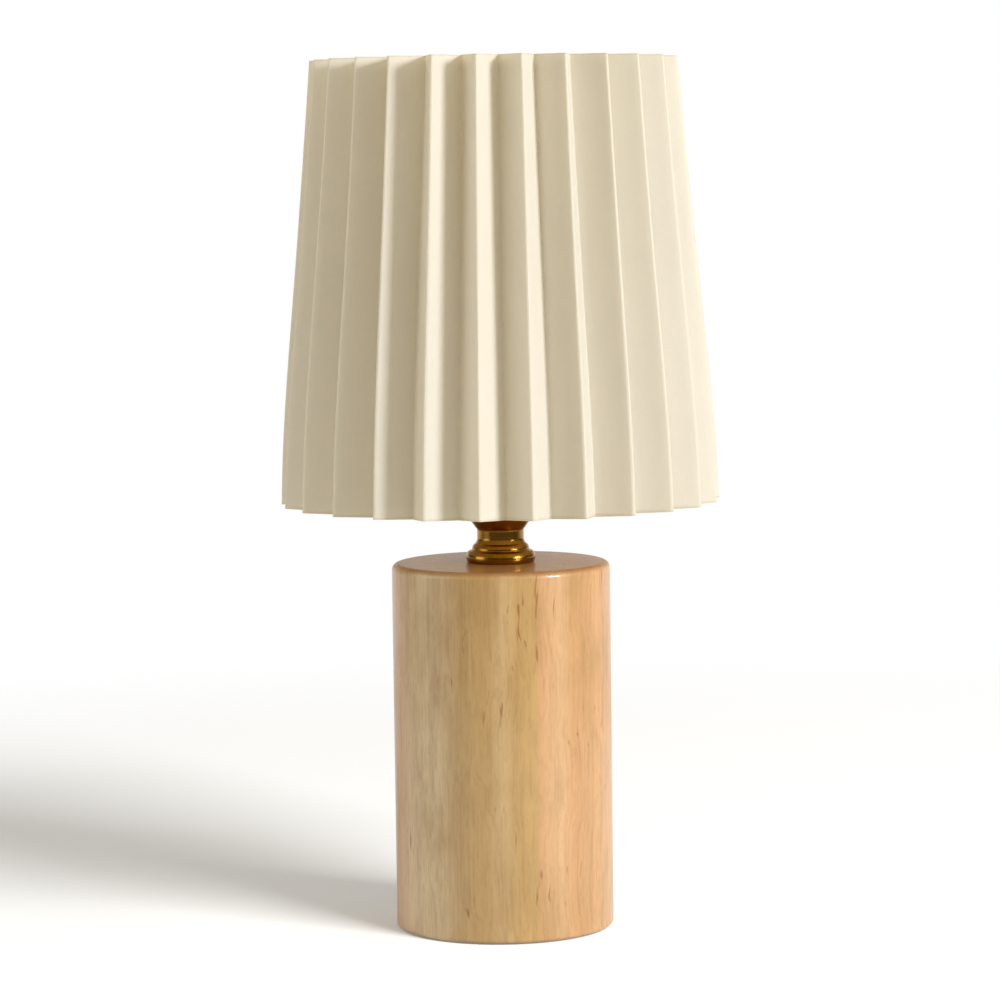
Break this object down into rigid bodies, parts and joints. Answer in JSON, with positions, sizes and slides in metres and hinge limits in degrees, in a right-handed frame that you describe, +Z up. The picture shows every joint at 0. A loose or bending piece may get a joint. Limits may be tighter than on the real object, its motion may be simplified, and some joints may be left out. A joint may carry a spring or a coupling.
{
  "type": "pleated paper table lamp",
  "caption": "Table lamp with a turned wooden column, a brass neck and lampholder, and a lift-off accordion-pleated paper shade on a wire frame round a candle bulb.",
  "frame": {"origin": "centre of the felt pad's underside, on the table", "axes": "+Z up along the lamp's axis, -Y towards the front, +Y towards the cord's exit, +X to the right seen from the front"},
  "size_m": [0.2026, 0.2016, 0.397],
  "materials": {
    "wood": "satin lacquer",
    "felt": "matte felt",
    "brass": "antiqued satin",
    "paper": "matte",
    "frame_wire": "satin powder coat",
    "steel": "zinc plated",
    "black_plastic": "matte",
    "porcelain": "glazed",
    "nickel": "nickel plated",
    "contact_bronze": "bare",
    "cap_insulator": "vitrified gloss",
    "bulb_glass": "clear",
    "filament": "coated"
  },
  "bodies": {
    "base": {"base_body": "wood", "base_pad": "felt", "cord_bushing": "black_plastic", "lamp_pipe": "steel", "pipe_washer": "steel", "lock_washer": "steel", "pipe_nut": "steel", "neck": "brass", "holder_cap": "brass", "holder_grub_screw": "steel", "holder_shell": "brass", "holder_insert": "porcelain", "screw_shell": "nickel", "centre_contact": "contact_bronze", "terminal_blocks": "contact_bronze", "terminal_screws": "steel"},
    "seat_ring": {"seat_ring": "brass"},
    "shade_fitter": {"shade_fitter": "frame_wire"},
    "shade": {"spider_arms": "frame_wire", "bottom_ring": "frame_wire", "top_ring": "frame_wire", "shade_struts": "frame_wire", "pleated_cover": "paper"},
    "retaining_ring": {"retaining_ring": "brass"},
    "bulb_tip": {"bulb_contact": "steel"},
    "bulb": {"bulb_insulator": "cap_insulator", "bulb_cap": "nickel", "bulb_glass": "bulb_glass", "bulb_stem": "bulb_glass", "bulb_filaments": "filament", "bulb_leads": "steel"}
  },
  "joints": [
    {"name": "shade_lift", "type": "slide", "parent": "base", "child": "shade_fitter", "axis": [0, 0, 1], "range_m": [0, 0.15]},
    {"name": "shade_turn", "type": "hinge", "parent": "shade_fitter", "child": "shade", "pos_m": [0, 0, 0.22], "axis": [0, 0, 1], "continuous": true},
    {"name": "ring_turn", "type": "hinge", "parent": "shade_fitter", "child": "retaining_ring", "pos_m": [0, 0, 0.225], "axis": [0, 0, 1], "range_deg": [0, 2304]},
    {"name": "seat_ring_turn", "type": "hinge", "parent": "base", "child": "seat_ring", "pos_m": [0, 0, 0.219], "axis": [0, 0, 1], "range_deg": [-1152, 0]},
    {"name": "bulb_rise", "type": "slide", "parent": "base", "child": "bulb_tip", "axis": [0, 0, 1], "range_m": [0, 0.0255]},
    {"name": "bulb_turn", "type": "hinge", "parent": "bulb_tip", "child": "bulb", "pos_m": [0, 0, 0.214], "axis": [0, 0, 1], "range_deg": [0, 2520]}
  ],
  "couplings": [
    {"joint": "bulb_rise", "follows": "bulb_turn", "m_per_rad": 0.00057757}
  ]
}
